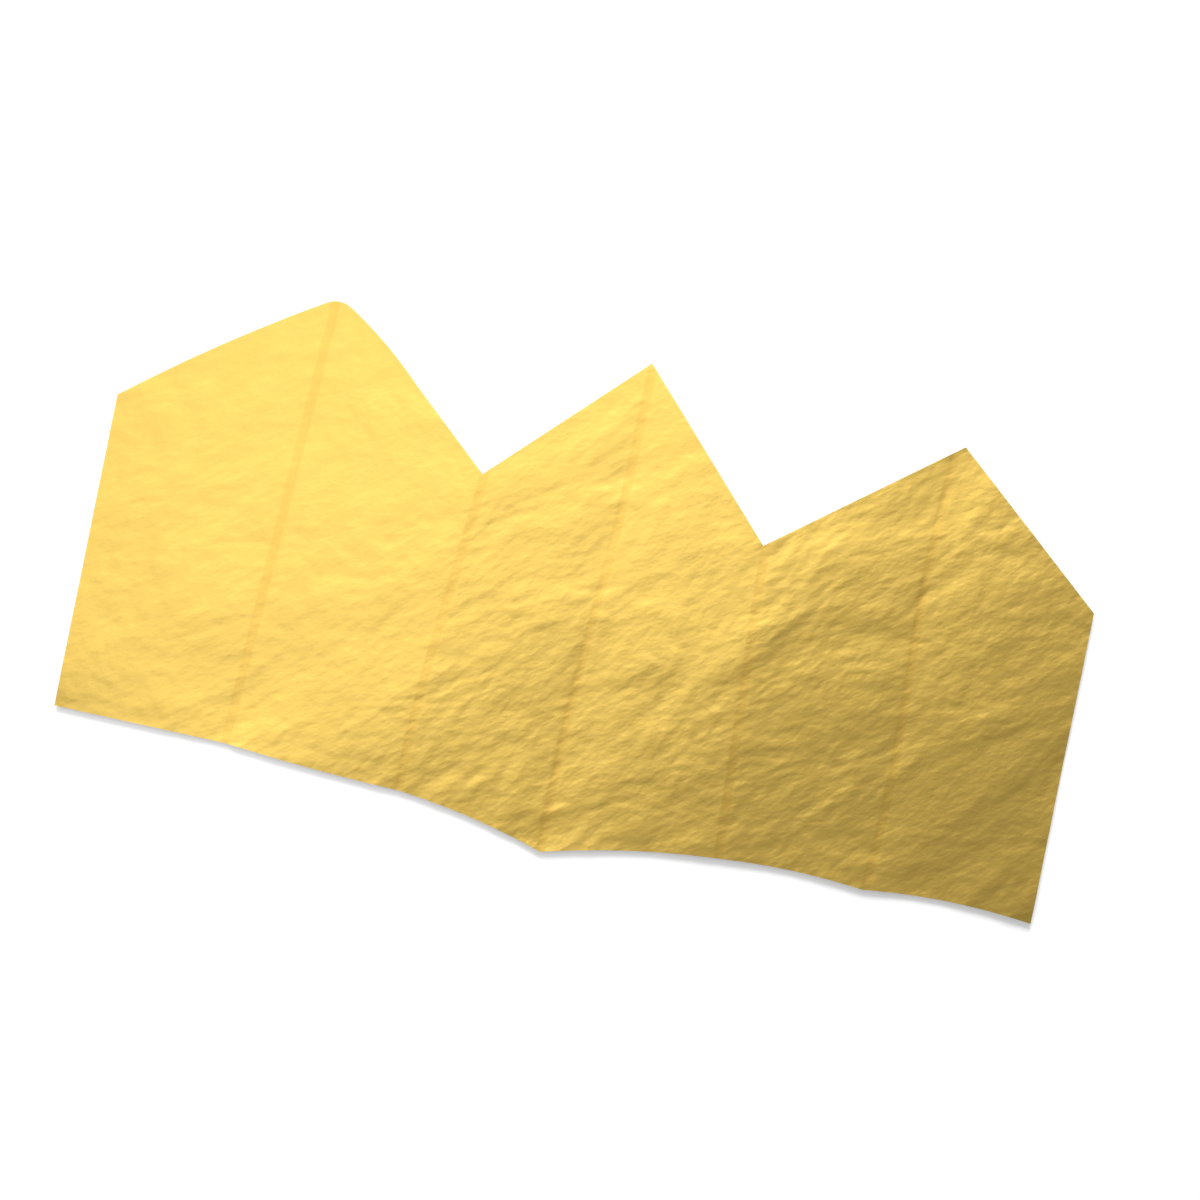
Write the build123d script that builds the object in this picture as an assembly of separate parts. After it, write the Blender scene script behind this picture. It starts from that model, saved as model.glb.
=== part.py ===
from build123d import *
from itertools import accumulate
import os

# A party crown made from one sheet of gold foil paper. The sheet was pleated
# into six panels and its top edge was cut to three points, and it now lies
# opened out, with both ends free. Nothing is glued, so it is one piece.
#
# X runs along the band, Y from the lower edge up to the points, and Z is up.
# Seven lines run from the lower edge to the top edge: the left end, the five
# creases and the right end. Each list below has one value for each line or
# for each panel between two lines, from left to right. Sizes in millimetres.

paper_thickness = 0.2

# Widths of the six panels, along the lower edge
panel_widths = (51.9, 53.7, 45.0, 52.2, 43.9, 51.1)

# The lower edge: how far each line's foot stands above (or hangs below) the
# straight line between the two ends, and how far the cut bows up between feet
foot_heights = (0.3, 0.4, -2.1, -10.7, -1.1, -0.8, 0.2)
foot_bows = (0.0, -0.5, 1.2, 1.3, 1.1, 1.6)

# The top edge: end, tip, notch, tip, notch, tip, end
head_heights = (94.7, 137.4, 95.3, 138.6, 92.7, 134.6, 94.5)
head_leans = (-1.8, 4.7, 3.8, 0.9, -7.2, 1.5, -1.7)

# The left tip was cut round: its left side bows out, and its right side
# swells out on a shoulder before it runs straight down to the notch
left_side_bow = 1.3
shoulder_run = 33.7
shoulder_bulge = 1.4
shoulder_bow = 1.1
round_tip_radius = 7.0

# The pleats, pressed almost flat: valley creases lie on the table, and the
# creases at the notches and the two free ends stand a little above it
ridge_rise = 1.4
end_rise = 1.2
crease_radius = 46.0
# How far each crease passes to the right of its tip or notch
crease_drifts = (-0.9, -0.5, -0.4, 0.6, -1.4)

# Room around the outline for the blank that it is cut from
blank_margin = 20.0

foot_xs = tuple(accumulate(panel_widths, initial=0.0))
head_xs = tuple(x + lean for x, lean in zip(foot_xs, head_leans))
feet = [Vector(x, y) for x, y in zip(foot_xs, foot_heights)]
heads = [Vector(x, y) for x, y in zip(head_xs, head_heights)]


def cut(start, end, bow):
    """One cut of the scissors: straight, or bowed to its left by the bow."""
    if bow == 0:
        return Line(start, end)
    return SagittaArc(start, end, bow)


def lower_edge():
    """The hand-cut lower edge, from the left end to the right end."""
    return [cut(a, b, bow) for a, b, bow in zip(feet, feet[1:], foot_bows)]


def round_tip():
    """The left tip with both its sides, from the left end to the first notch."""
    end, tip, notch = heads[:3]
    along = (notch - tip).normalized()
    outward = along.rotate(Axis.Z, 90)
    shoulder = tip + along * shoulder_run + outward * shoulder_bulge
    return [
        cut(end, tip, left_side_bow),
        cut(tip, shoulder, shoulder_bow),
        Line(shoulder, notch),
    ]


def outline():
    """The shape that is cut from the sheet, seen from above."""
    sharp_points = Polyline(*heads[2:])
    left_end = Line(feet[0], heads[0])
    right_end = Line(heads[-1], feet[-1])
    edges = [*lower_edge(), left_end, *round_tip(), *sharp_points.edges(), right_end]
    shape = make_face(Curve(children=edges).edges())
    tip = shape.vertices().sort_by_distance(heads[1])[0]
    return fillet(tip, round_tip_radius)


def crease_xs(y):
    """Where the five creases cross the line at the height y up the crown."""
    crossings = []
    for foot, head, drift in zip(feet[1:-1], heads[1:-1], crease_drifts):
        up = (y - foot.Y) / (head.Y - foot.Y)
        crossings.append(foot.X + up * (head.X + drift - foot.X))
    return crossings


def pleated_section(y):
    """The pleated blank, cut straight across at the height y up the crown."""
    creases = crease_xs(y)
    left_x = foot_xs[0]
    right_x = foot_xs[-1]
    left_slope = end_rise / (creases[0] - left_x)
    right_slope = end_rise / (right_x - creases[-1])
    points = [(left_x - blank_margin, end_rise + left_slope * blank_margin)]
    for number, x in enumerate(creases):
        points.append((x, ridge_rise if number % 2 else 0.0))
    points.append((right_x + blank_margin, end_rise + right_slope * blank_margin))
    middle = FilletPolyline(*points, radius=crease_radius)
    band = make_face(middle.wire().offset_2d(paper_thickness / 2, side=Side.BOTH))
    return Plane.XZ.offset(-y) * band


def crown_sheet():
    """The pleated sheet, cut to the outline, resting on the table."""
    bottom_y = min(foot_heights) - blank_margin
    top_y = max(head_heights) + blank_margin
    blank = loft([pleated_section(bottom_y), pleated_section(top_y)], ruled=True)
    sheet = blank & extrude(outline(), blank_margin, both=True)
    box = sheet.bounding_box()
    return Pos(-box.center().X, -box.center().Y, -box.min.Z) * sheet


os.makedirs("parts", exist_ok=True)
export_step(crown_sheet(), "parts/crown_sheet.step")
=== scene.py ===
# %% [markdown]
# # A crown cut from one sheet of gold foil paper
#
# The part is a party crown, pleated into six panels, cut to three points and laid flat
# with its ends open. It is one sheet: a thin lacquered metal foil glued on paper. So there
# is one piece to build, and nearly all the work is in its surface. Foil paper remembers
# every touch, and those small wrinkles tell the eye what it is looking at.

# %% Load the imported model
import bmesh
import bpy
import math
import numpy as np
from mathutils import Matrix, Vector, noise
from mathutils.bvhtree import BVHTree


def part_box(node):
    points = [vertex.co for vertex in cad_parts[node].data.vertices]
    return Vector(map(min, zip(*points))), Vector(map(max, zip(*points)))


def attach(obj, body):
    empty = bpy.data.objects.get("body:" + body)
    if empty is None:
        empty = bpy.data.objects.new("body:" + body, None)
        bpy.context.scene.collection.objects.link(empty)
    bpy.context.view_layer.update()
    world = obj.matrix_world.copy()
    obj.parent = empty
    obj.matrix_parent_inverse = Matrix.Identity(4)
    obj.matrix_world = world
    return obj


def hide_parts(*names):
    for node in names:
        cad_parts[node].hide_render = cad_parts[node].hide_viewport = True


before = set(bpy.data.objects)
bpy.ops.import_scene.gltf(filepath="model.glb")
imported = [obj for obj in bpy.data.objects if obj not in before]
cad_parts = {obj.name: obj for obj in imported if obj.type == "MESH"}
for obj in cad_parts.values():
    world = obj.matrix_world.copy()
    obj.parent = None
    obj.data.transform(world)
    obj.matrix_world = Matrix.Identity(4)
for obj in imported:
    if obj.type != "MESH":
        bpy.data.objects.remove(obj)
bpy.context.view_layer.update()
low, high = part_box("crown_sheet")
MM = 0.001
print("crown sheet, mm:", [round(side / MM, 1) for side in high - low])

# %% [markdown]
# ## The pattern
#
# A maker draws the crown's outline on the sheet and cuts along it. That outline, and the
# height of every fold, are already in the CAD sheet. So both are read from it here and not
# typed in again, and the finished surface keeps the part's true cut. An edge of the rim is
# one where a single upward face ends; walked in order, these edges give the outline.

# %% Read the rim and the heights of the CAD sheet
def read_pattern(node):
    """The sheet as a tree for height queries, and the corners of its upper rim in order."""
    shape = bmesh.new()
    shape.from_mesh(node.data)
    bmesh.ops.remove_doubles(shape, verts=shape.verts, dist=0.001 * MM)
    shape.normal_update()
    shape.verts.index_update()
    tree = BVHTree.FromBMesh(shape)
    corners = np.array([corner.co[:] for corner in shape.verts])
    beside = {}
    for edge in shape.edges:
        if sum(face.normal.z > 0.5 for face in edge.link_faces) == 1:
            a, b = (end.index for end in edge.verts)
            beside.setdefault(a, []).append(b)
            beside.setdefault(b, []).append(a)
    shape.free()
    start = min(beside, key=lambda corner: corners[corner][0])
    walk = [start, max(beside[start], key=lambda corner: corners[corner][1])]
    while walk[-1] != start:
        a, b = beside[walk[-1]]
        walk.append(b if a == walk[-2] else a)
    return tree, corners[walk[:-1]]


surface, rim = read_pattern(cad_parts["crown_sheet"])
right_foot = int(np.argmax(rim[:, 0] - rim[:, 1]))
right_head = int(np.argmax(2 * rim[:, 0] + rim[:, 1]))
top_edge = rim[:right_head + 1]
bottom_edge = rim[right_foot:][::-1]
print("corners in the rim:", len(rim), "of them along the top:", len(top_edge))


def height_at(x, y):
    """Height of the CAD sheet's upper face at x, y."""
    above = Vector((x, y, high.z + MM))
    return surface.find_nearest(above)[0].z


# %% [markdown]
# ## Where the creases run
#
# Across a flat panel the height changes evenly, and at a fold it changes its slope. So the
# second difference of the heights, taken along a row, peaks at the five creases. Two rows
# are enough, because a fold pressed with a ruler is straight.

# %% Find the creases
CREASES = 5
low_row, high_row = low.y + 15 * MM, low.y + 95 * MM


def creases_across(y):
    """Where the creases cross the row at y, from left to right."""
    places = np.arange(low.x + 8 * MM, high.x - 8 * MM, 0.5 * MM)
    bend = np.abs(np.diff([height_at(x, y) for x in places], 2))
    middles = places[1:-1]
    found = []
    for _ in range(CREASES):
        sharpest = middles[bend.argmax()]
        near = np.abs(middles - sharpest) < 6 * MM
        found.append(np.average(middles[near], weights=bend[near]))
        bend = np.where(np.abs(middles - sharpest) < 15 * MM, 0, bend)
    return np.sort(found)


crease_low = creases_across(low_row)
crease_high = creases_across(high_row)


def crease_x(number, y):
    """Where one crease crosses the row at y."""
    share = (y - low_row) / (high_row - low_row)
    return crease_low[number] + share * (crease_high[number] - crease_low[number])


print("creases along the lower row, mm:", np.round(crease_low / MM, 1).tolist())

# %% [markdown]
# ## A grid that follows the cut
#
# A plain square grid would leave steps along the slanting cuts. Here each column of points
# runs from the lower edge up to the top edge, and a column ends exactly in every point and
# every notch. So the cuts stay clean and nothing has to be trimmed. Points lie about 1 mm
# apart, close enough for wrinkles of 3 mm and more.

# %% Lay out the grid
COLUMNS, ROWS = 312, 150


def head_corner(number):
    """The tip or the notch that a crease runs to: tips and notches take turns."""
    near = [corner for corner in top_edge
            if abs(corner[0] - crease_x(number, high.y)) < 9 * MM]
    pick = max if number % 2 == 0 else min
    return pick(near, key=lambda corner: corner[1])[0]


feet = [crease_x(number, low.y + 10 * MM) for number in range(CREASES)]
heads = [head_corner(number) for number in range(CREASES)]
feet = [bottom_edge[0][0], *feet, bottom_edge[-1][0]]
heads = [top_edge[0][0], *heads, top_edge[-1][0]]
panels = range(CREASES + 2)
along = np.linspace(0, CREASES + 1, COLUMNS + 1)
foot_x = np.interp(along, panels, feet)
head_x = np.interp(along, panels, heads)
foot_y = np.interp(foot_x, bottom_edge[:, 0], bottom_edge[:, 1])
head_y = np.interp(head_x, top_edge[:, 0], top_edge[:, 1])
up = np.linspace(0, 1, ROWS + 1)[:, None]
x = foot_x + up * (head_x - foot_x)
y = foot_y + up * (head_y - foot_y)
print("tips and notches at, mm:", np.round(np.array(heads) / MM, 1).tolist())

# %% [markdown]
# ## Pleats and a lifted edge
#
# The pleats are pressed almost flat. The lower edge of such a sheet seldom lies down: the
# lacquer shrinks more than the paper, so the free edge curls up. Here it rises 1.3 mm over
# the last 32 mm. That small gap is what casts a soft line of shadow under the crown.

# %% Raise the pleats and the lower edge
EDGE_LIFT = 1.3 * MM
EDGE_REACH = 32 * MM

lie = np.vectorize(height_at)(x, y)
from_edge = up * (head_y - foot_y)
curl = np.clip(1 - from_edge / EDGE_REACH, 0, 1) ** 2
lie = lie + curl * (EDGE_LIFT - lie)
print("pleats and edge rise, mm:", round(float(np.ptp(lie)) / MM, 2))

# %% [markdown]
# ## Crumples
#
# Foil keeps every dent, and a crown that was handled and flattened is full of them. They
# run mostly one way, aslant, because it was creased by the same pull. The noise is summed
# in steps, each half as long as the last and a little more than half as high: crumpled foil
# is about equally steep at every size, and slightly steeper in the small. The sum is scaled to a measured steepness, since steepness is what
# the eye sees in a shiny surface, and not height.

# %% Crumple the sheet
CRUMPLE_LENGTH = 26 * MM
CRUMPLE_TURN = math.radians(38)
CRUMPLE_STRETCH = 1.8
CRUMPLE_STEPS = 5
CRUMPLE_SLOPE = 0.035


def crumple(x, y):
    """One spot of the crumple pattern: soft waves, with some folds among them."""
    along_it = x * math.cos(CRUMPLE_TURN) + y * math.sin(CRUMPLE_TURN)
    across_it = y * math.cos(CRUMPLE_TURN) - x * math.sin(CRUMPLE_TURN)
    spot = Vector((along_it / CRUMPLE_STRETCH, across_it, 0)) / CRUMPLE_LENGTH
    spot += 0.25 * noise.noise_vector(spot * 1.4)
    height = 0
    for step in range(CRUMPLE_STEPS):
        finer = spot * 2 ** step + Vector((3.1, 5.7, 9.3 * step))
        wave = noise.noise(finer)
        fold = 0.35 - abs(noise.noise(finer + Vector((0, 0, 4.4))))
        height += (wave + 0.7 * fold) / 1.65 ** step
    return height


crumples = np.vectorize(crumple)(x, y)
spacing = (high.x - low.x) / COLUMNS
steepness = np.hypot(np.gradient(crumples, axis=0), np.gradient(crumples, axis=1)) / spacing
crumples *= CRUMPLE_SLOPE / np.sqrt((steepness ** 2).mean())
print("crumples, mm from low to high:", round(float(np.ptp(crumples)) / MM, 2))

# %% [markdown]
# ## Creases
#
# A pressed fold leaves a shallow groove, and along each fold the material makes a strip of
# the colour a little darker and browner. Both need the same number: how far a spot lies
# from the nearest crease. The mesh keeps that number as an attribute, so the material can
# darken that strip later. Three of the folds are not quite straight, so they get a small bow.

# %% Measure from the creases and press the grooves
CREASE_BOWS = (0, -1.1 * MM, -0.9 * MM, 0, 1.5 * MM)
GROOVE_DEPTH = 0.07 * MM
GROOVE_WIDTH = 1.1 * MM


def crease_offset(x, y):
    """Signed distance across the sheet from the nearest crease."""
    share = (y - low.y) / (high.y - low.y)
    offsets = [x - crease_x(number, y) - bow * math.sin(2 * math.pi * min(share, 0.9))
               for number, bow in enumerate(CREASE_BOWS)]
    return min(offsets, key=abs)


offset = np.vectorize(crease_offset)(x, y)
groove = -GROOVE_DEPTH * np.exp(-(offset / GROOVE_WIDTH) ** 2)
z = lie + crumples + groove
print("steepest side of a groove, degrees:",
      round(math.degrees(0.86 * GROOVE_DEPTH / GROOVE_WIDTH), 1))

# %% [markdown]
# ## The mesh
#
# Front and back are the same grid, one paper's thickness apart, and a narrow strip of faces
# closes the cut edge between them. The front gets the foil; the back and the cut edge show
# bare paper. At last the sheet is set down so that its lowest point touches the ground.

# %% Build the crown's mesh
THICKNESS = 0.2 * MM

z = z - z.min() + THICKNESS
front = np.dstack([x, y, z]).reshape(-1, 3)
back = front - [0, 0, THICKNESS]
number = np.arange(len(front)).reshape(x.shape)
squares = [number[:-1, :-1], number[:-1, 1:], number[1:, 1:], number[1:, :-1]]
front_faces = np.dstack(squares).reshape(-1, 4)
back_faces = front_faces[:, ::-1] + len(front)
loop = np.concatenate([number[0, :-1], number[:-1, -1], number[-1, :0:-1], number[:0:-1, 0]])
following = np.roll(loop, -1)
edge_faces = np.column_stack([loop + len(front), following + len(front), following, loop])

mesh = bpy.data.meshes.new("foil_crown")
points = np.vstack([front, back])
faces = np.vstack([front_faces, back_faces, edge_faces])
mesh.from_pydata(points.tolist(), [], faces.tolist())
side = np.repeat([0, 1], [len(front_faces), len(faces) - len(front_faces)])
mesh.polygons.foreach_set("material_index", side)
mesh.shade_smooth()
mesh.set_sharp_from_angle(angle=math.radians(30))
# Distance from the nearest crease, used by the material to colour a darker, browner strip along
# each fold.
crease_distance = mesh.attributes.new("crease_offset", "FLOAT", "POINT")
crease_distance.data.foreach_set("value", np.tile(offset.ravel(), 2))
crown = bpy.data.objects.new("foil_crown", mesh)
bpy.context.collection.objects.link(crown)
print("triangles:", 2 * len(faces), "height, mm:", round(float(z.max()) / MM, 2))

# %% [markdown]
# ## Two helpers for materials
#
# Colours are written as the usual hex codes, but Blender's sockets want linear light, so one
# function converts them. The other adds a node, sets its fields and fills its sockets: a
# socket given as a value links, anything else is set on the socket itself.

# %% Colour and node helpers
def linear(code):
    """A colour code such as #FFCC00 as linear light, with full opacity."""
    steps = [int(code[place:place + 2], 16) / 255 for place in (1, 3, 5)]
    light = [step / 12.92 if step <= 0.04045 else ((step + 0.055) / 1.055) ** 2.4
             for step in steps]
    return (*light, 1.0)


def add_node(tree, kind, inputs=None, **fields):
    """Add a node with its fields set and its sockets filled or linked."""
    node = tree.nodes.new(kind)
    for name, value in fields.items():
        setattr(node, name, value)
    for name, value in (inputs or {}).items():
        if isinstance(value, bpy.types.NodeSocket):
            tree.links.new(value, node.inputs[name])
        else:
            node.inputs[name].default_value = value
    return node


def new_material(name):
    """An empty material: the material, its node tree and its output node."""
    material = bpy.data.materials.new(name)
    material.use_nodes = True
    material.node_tree.nodes.clear()
    output = add_node(material.node_tree, "ShaderNodeOutputMaterial")
    return material, material.node_tree, output


print("gold in linear light:", [round(part, 3) for part in linear("#F3C95F")])

# %% [markdown]
# ## Gold foil paper
#
# The sheet is aluminium foil with a yellow lacquer, glued on paper. The foil makes it a
# metal, and the paper's grain under it spreads the reflection wide, so it glows like satin
# and shows no mirror images. The lacquer lies over it as a thin clear coat, which adds a
# pale sheen where the light is strongest. Its colour drifts a little in patches, and along
# the folds a strip of it is coloured darker and browner. Wrinkles too fine for the mesh are a
# bump.

# %% Material: gold foil paper
foil, tree, output = new_material("gold_foil_paper")
place = add_node(tree, "ShaderNodeTexCoord")
aslant = add_node(tree, "ShaderNodeMapping",
                  {"Vector": place.outputs["Object"],
                   "Rotation": (0, 0, CRUMPLE_TURN),
                   "Scale": (CRUMPLE_STRETCH, 1, 1)},
                  vector_type="TEXTURE")
patches = add_node(tree, "ShaderNodeTexNoise",
                   {"Vector": aslant.outputs["Vector"], "Scale": 1 / (7 * MM),
                    "Detail": 3.0, "Roughness": 0.6})
tone = add_node(tree, "ShaderNodeMix",
                {"Factor": patches.outputs["Fac"],
                 "A": linear("#F0CB64"), "B": linear("#E7C35B")},
                data_type="RGBA")
crease = add_node(tree, "ShaderNodeAttribute", attribute_name="crease_offset")
distance = add_node(tree, "ShaderNodeMath", {0: crease.outputs["Fac"]}, operation="ABSOLUTE")
strip = add_node(tree, "ShaderNodeMapRange",
                 {"Value": distance.outputs["Value"],
                  "From Min": 1.1 * MM, "From Max": 1.6 * MM,
                  "To Min": 1.0, "To Max": 0.0})
# A strip along each crease is coloured darker and browner.
crease_tint = add_node(tree, "ShaderNodeMix",
                  {"Factor": strip.outputs["Result"], "A": tone.outputs["Result"],
                   "B": (0.96, 0.92, 0.85, 1)},
                  data_type="RGBA", blend_type="MULTIPLY")
dents = add_node(tree, "ShaderNodeTexNoise",
                 {"Vector": aslant.outputs["Vector"], "Scale": 1 / (2.2 * MM),
                  "Detail": 2.0, "Roughness": 0.5})
fine = add_node(tree, "ShaderNodeBump",
                {"Height": dents.outputs["Fac"], "Strength": 1.0, "Distance": 0.15 * MM})
metal = add_node(tree, "ShaderNodeBsdfPrincipled",
                 {"Base Color": crease_tint.outputs["Result"], "Metallic": 1.0,
                  "Roughness": 0.47, "Coat Weight": 0.5, "Coat Roughness": 0.35,
                  "Normal": fine.outputs["Normal"], "Coat Normal": fine.outputs["Normal"]})
tree.links.new(metal.outputs["BSDF"], output.inputs["Surface"])
mesh.materials.append(foil)
print("foil nodes:", len(tree.nodes))

# %% [markdown]
# ## Bare paper
#
# The back and the cut edge are the paper the foil is glued to: dull, off-white, with a faint
# tooth from the fibres. Nothing glossy touches it, so it is rough and plain.

# %% Material: uncoated backing paper
backing, tree, output = new_material("uncoated_backing_paper")
place = add_node(tree, "ShaderNodeTexCoord")
fibres = add_node(tree, "ShaderNodeTexNoise",
                  {"Vector": place.outputs["Object"], "Scale": 1 / (0.8 * MM), "Detail": 4.0})
tooth = add_node(tree, "ShaderNodeMix",
                 {"Factor": fibres.outputs["Fac"],
                  "A": linear("#E9E4D8"), "B": linear("#E2DCCE")},
                 data_type="RGBA")
grain = add_node(tree, "ShaderNodeBump",
                 {"Height": fibres.outputs["Fac"], "Strength": 0.5, "Distance": 0.02 * MM})
dull = add_node(tree, "ShaderNodeBsdfPrincipled",
                {"Base Color": tooth.outputs["Result"], "Roughness": 0.85,
                 "Normal": grain.outputs["Normal"]})
tree.links.new(dull.outputs["BSDF"], output.inputs["Surface"])
mesh.materials.append(backing)
print("paper nodes:", len(tree.nodes))

# %% [markdown]
# ## The ground
#
# A sheet of white card lies under the crown. It takes the shadow, and a small glow that only
# the camera sees lifts it to pure white elsewhere, so no extra light reaches the crown.

# %% Lay the ground
GROUND_SIDE = 10
GROUND_GLOW = 0.32

ground_mesh = bpy.data.meshes.new("ground")
half = GROUND_SIDE / 2
ground_mesh.from_pydata([(-half, -half, 0), (half, -half, 0), (half, half, 0), (-half, half, 0)],
                        [], [(0, 1, 2, 3)])
floor = bpy.data.objects.new("ground", ground_mesh)
bpy.context.collection.objects.link(floor)
white, tree, output = new_material("white_card")
rays = add_node(tree, "ShaderNodeLightPath")
seen = add_node(tree, "ShaderNodeMath",
                {0: rays.outputs["Is Camera Ray"], 1: rays.outputs["Is Glossy Ray"]},
                operation="MAXIMUM")
card = add_node(tree, "ShaderNodeBsdfDiffuse", {"Color": (0.8, 0.8, 0.8, 1)})
level = add_node(tree, "ShaderNodeMath",
                 {0: seen.outputs["Value"], 1: GROUND_GLOW}, operation="MULTIPLY")
glow = add_node(tree, "ShaderNodeEmission", {"Strength": level.outputs["Value"]})
lifted = add_node(tree, "ShaderNodeAddShader",
                  {0: card.outputs["BSDF"], 1: glow.outputs["Emission"]})
tree.links.new(lifted.outputs["Shader"], output.inputs["Surface"])
ground_mesh.materials.append(white)
print("ground side, m:", GROUND_SIDE)

# %% [markdown]
# ## Light
#
# Three lights make the look. A high key light from beyond the crown's points draws the
# wrinkles and the shadow under the lower edge. A wide soft box hangs low over the upper left
# half: it makes that half glow and leaves the lower right deep gold. Grey sky fills the rest.

# %% Set the lights
KEY_ANGLE = math.radians(58)
TOWARDS_TIPS = Vector((-0.218, 0.976, 0))

sky = bpy.data.worlds.new("sky")
bpy.context.scene.world = sky
sky.use_nodes = True
tree = sky.node_tree
tree.nodes.clear()
rays = add_node(tree, "ShaderNodeLightPath")
grey = add_node(tree, "ShaderNodeBackground", {"Color": (1, 1, 1, 1), "Strength": 0.22})
plain = add_node(tree, "ShaderNodeBackground", {"Color": (1, 1, 1, 1), "Strength": 1.0})
either = add_node(tree, "ShaderNodeMixShader",
                  {0: rays.outputs["Is Camera Ray"], 1: grey.outputs["Background"],
                   2: plain.outputs["Background"]})
output = add_node(tree, "ShaderNodeOutputWorld", {"Surface": either.outputs["Shader"]})

key_light = bpy.data.lights.new("key", "SUN")
key_light.energy = 3.4
key_light.angle = math.radians(28)
key = bpy.data.objects.new("key", key_light)
source = TOWARDS_TIPS * math.sin(KEY_ANGLE) + Vector((0, 0, math.cos(KEY_ANGLE)))
key.rotation_euler = source.to_track_quat("Z", "Y").to_euler()
bpy.context.collection.objects.link(key)

soft_light = bpy.data.lights.new("soft_box", "AREA")
soft_light.shape = "RECTANGLE"
soft_light.size = 420 * MM
soft_light.size_y = 240 * MM
soft_light.energy = 0.38
soft = bpy.data.objects.new("soft_box", soft_light)
soft.location = (-62 * MM, 68 * MM, 205 * MM)
soft.rotation_euler = (0, 0, math.radians(36.7))
soft.visible_camera = False
bpy.context.collection.objects.link(soft)
print("key light from the vertical, degrees:", round(math.degrees(KEY_ANGLE)))

# %% [markdown]
# ## Camera
#
# The camera looks straight down, so the crown keeps its true outline. It is turned a little,
# and it stands well back with a long lens: from near by, the raised edge would look bigger.

# %% Place the camera
LENS, SENSOR = 85, 36
VIEW_WIDTH = 357.9 * MM

camera_data = bpy.data.cameras.new("camera")
camera_data.lens = LENS
camera_data.sensor_width = SENSOR
camera = bpy.data.objects.new("camera", camera_data)
camera.location = (3.7 * MM, 2.4 * MM, VIEW_WIDTH * LENS / SENSOR)
camera.rotation_euler = (0, 0, math.radians(12.6))
bpy.context.collection.objects.link(camera)
bpy.context.scene.camera = camera
bpy.context.scene.view_settings.view_transform = "Standard"
print("camera height, m:", round(camera.location.z, 3))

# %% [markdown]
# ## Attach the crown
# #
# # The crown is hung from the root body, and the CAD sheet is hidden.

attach(crown, "root")
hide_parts("crown_sheet")
